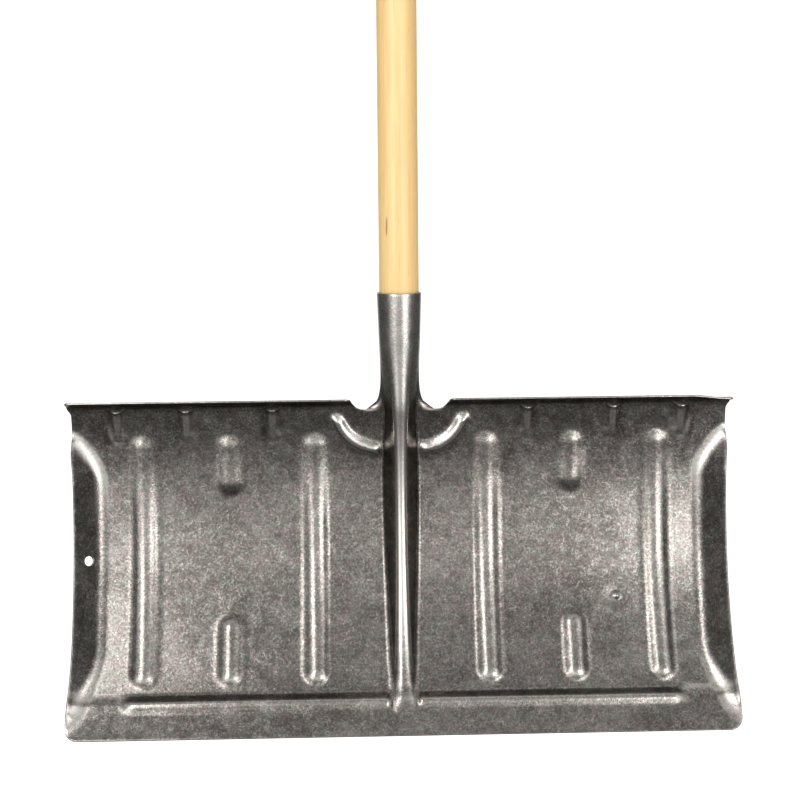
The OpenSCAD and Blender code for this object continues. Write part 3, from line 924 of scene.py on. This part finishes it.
def make_screw(node, material):
    """A wood screw: pan head with a cross recess, plain neck, and a thread that runs out to the point."""
    low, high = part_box(node)
    middle = (low + high) / 2 / MM
    turn = math.copysign(SCREW_TURN, middle.x)
    seat = SOCKET_R - SOCKET_TAPER * (MOUTH_Z - middle.z) + SCREW_GAP
    points, faces = lathe(screw_profile(seat - SCREW_LEN, seat), 64)
    x, y, h = points.T
    turns = np.arctan2(y, x) / (2 * math.pi)
    groove = 0.5 - 0.5 * np.cos(2 * math.pi * (h / THREAD_PITCH - turns))
    thread_end = seat - THREAD_END
    thin = 1 - THREAD_DEPTH * groove**THREAD_ROUND * fade(h, thread_end, thread_end - THREAD_RUN)
    near, far = np.minimum(np.abs(x), np.abs(y)), np.maximum(np.abs(x), np.abs(y))
    cross = fade(near, *RECESS_SIDE_FADE) * fade(far, *RECESS_END_FADE)
    deep = RECESS_DEEP * (1 - RECESS_RISE * far / RECESS_REACH)
    recess = np.where(h > seat + SCREW_RIM, cross * deep, 0)
    outward = np.array([math.sin(turn), math.cos(turn), 0])
    across = np.array([-math.cos(turn), math.sin(turn), 0])
    placed = np.outer(x * thin, across) + np.outer(y * thin, [0, 0, 1]) + np.outer(h - recess, outward)
    piece = mesh_object(node + "_detail", placed + [0, AXIS_Y, middle.z], faces)
    piece.data.set_sharp_from_angle(angle=math.radians(38))
    take_place(piece, material, "screw_steel", node)


# ---------------------------------------------------------------- studio
def revolve(name, profile, material):
    """A pale surface turned round the Z axis, left out of reflections. Its profile is in metres."""
    segments = 128
    ring = np.arange(segments) * 2 * math.pi / segments
    bm = bmesh.new()
    loops = [[bm.verts.new((r * math.cos(a), r * math.sin(a), z)) for a in ring] for r, z in profile]
    for low, high in zip(loops, loops[1:]):
        for k in range(segments):
            following = (k + 1) % segments
            bm.faces.new((low[k], high[k], high[following], low[following]))
    mesh = bpy.data.meshes.new(name)
    bm.to_mesh(mesh)
    bm.free()
    mesh.shade_smooth()
    surface = place_object(name, mesh)
    surface.data.materials.append(material)
    surface.visible_glossy = False
    surface.visible_shadow = False
    return surface


def make_floor():
    """A pale floor whose far edge curves up into a wall all round, so that no horizon shows."""
    flat_r, cove_r, wall_h = 4.5, 2.0, 7.0
    pale = floor_material()
    revolve("floor", [(r, 0) for r in (0.001, 0.4, 1.2, 2.4, 3.6, flat_r)], pale)
    rises = np.radians(np.arange(0, 91, 6))
    cove = [(flat_r + cove_r * math.sin(rise), cove_r * (1 - math.cos(rise))) for rise in rises]
    revolve("backdrop", cove + [(flat_r + cove_r, wall_h)], pale).visible_diffuse = False


BOX_Y = -1.0


def soft_box(name, x_low, x_high, z_low, z_high, power):
    """A rectangular light at BOX_Y that faces the blade. power is in watts per square metre."""
    data = bpy.data.lights.new(name, "AREA")
    data.shape = "RECTANGLE"
    data.size, data.size_y = x_high - x_low, z_high - z_low
    data.energy = power * data.size * data.size_y
    light = place_object(name, data)
    light.location = ((x_low + x_high) / 2, BOX_Y, (z_low + z_high) / 2)
    light.rotation_euler = Euler((math.radians(90), 0, 0))
    light.visible_camera = False


def make_lights():
    soft_box("box_left", -0.82, -0.38, 0.34, 1.35, 13.5)
    soft_box("box_high", 0.8, 1.25, 0.6, 1.3, 3.0)
    soft_box("box_low", -0.75, -0.4, 0.06, 0.3, 2.5)
    soft_box("box_right", 0.4, 0.95, 0.12, 0.52, 12.5)


def make_world():
    """The pale surroundings that the steel mirrors. Their strength depends on the direction x, y, z."""
    world = bpy.data.worlds.new("studio")
    bpy.context.scene.world = world
    world.use_nodes = True
    tree = world.node_tree
    background = tree.nodes["Background"]
    background.inputs["Color"].default_value = (1, 1, 1, 1)
    split = tree.nodes.new("ShaderNodeSeparateXYZ")
    tree.links.new(tree.nodes.new("ShaderNodeTexCoord").outputs["Generated"], split.inputs[0])

    def ramp(source, low, high, to_low, to_high):
        node = tree.nodes.new("ShaderNodeMapRange")
        node.interpolation_type = "SMOOTHSTEP"
        tree.links.new(source, node.inputs["Value"])
        for key, value in zip(("From Min", "From Max", "To Min", "To Max"), (low, high, to_low, to_high)):
            node.inputs[key].default_value = value
        return node.outputs[0]

    def joined(operation, first, *others):
        for other in others:
            node = tree.nodes.new("ShaderNodeMath")
            node.operation = operation
            tree.links.new(first, node.inputs[0])
            tree.links.new(other, node.inputs[1])
            first = node.outputs[0]
        return first

    x, y, z = split.outputs
    aside = joined("ABSOLUTE", x, x)
    # By height: dim below, full just above level, weaker higher up, and strong straight overhead.
    dim_below = ramp(z, -0.38, 0.12, 0.07, 1.12)
    weak_above = ramp(z, 0.22, 0.5, 1.0, 0.5)
    weaker_above = ramp(z, 0.62, 0.82, 1.0, 0.8)
    overhead = ramp(z, 0.89, 0.96, 1.0, 1.9)
    by_height = joined("MULTIPLY", dim_below, weak_above, weaker_above, overhead)
    # Ahead of the blade: nearly black far to the sides, and strongest a little off the middle.
    dark_sides = ramp(aside, 0.66, 0.9, 1.0, 0.04)
    in_front = ramp(y, 0.1, -0.3, 0.0, 1.0)
    off_middle = ramp(aside, 0.22, 0.38, 1.0, 1.5)
    ahead = joined("MULTIPLY", dark_sides, in_front, off_middle, by_height)
    behind = ramp(y, 0.7, 0.95, 0.12, 0.9)
    tree.links.new(joined("ADD", ahead, behind), background.inputs["Strength"])


def make_camera():
    """The camera at the photograph's viewing angle, aimed at the handle just above the blade's bend."""
    above_bend = 8.4
    target = Vector((0, AXIS_Y, BEND_Z + above_bend)) * MM
    distance = 1.328
    elevation, azimuth, roll = math.radians(8.94), math.radians(-1.5), math.radians(-0.54)
    level = math.cos(elevation)
    back = Vector((math.sin(azimuth) * level, -math.cos(azimuth) * level, math.sin(elevation)))
    data = bpy.data.cameras.new("camera")
    data.sensor_width = 36
    data.lens = 73.6
    data.clip_start = 0.05
    camera = place_object("camera", data)
    facing = (-back).to_track_quat("-Z", "Y").to_matrix().to_4x4()
    place = Matrix.Translation(target + back * distance)
    camera.matrix_world = place @ facing @ Matrix.Rotation(roll, 4, "Z")
    bpy.context.scene.camera = camera


make_blade()
make_handle()
screw_steel = screw_material()
for node in ("screw_upper", "screw_lower"):
    make_screw(node, screw_steel)
make_floor()
make_lights()
make_world()
make_camera()
bpy.context.scene.view_settings.view_transform = "Standard"
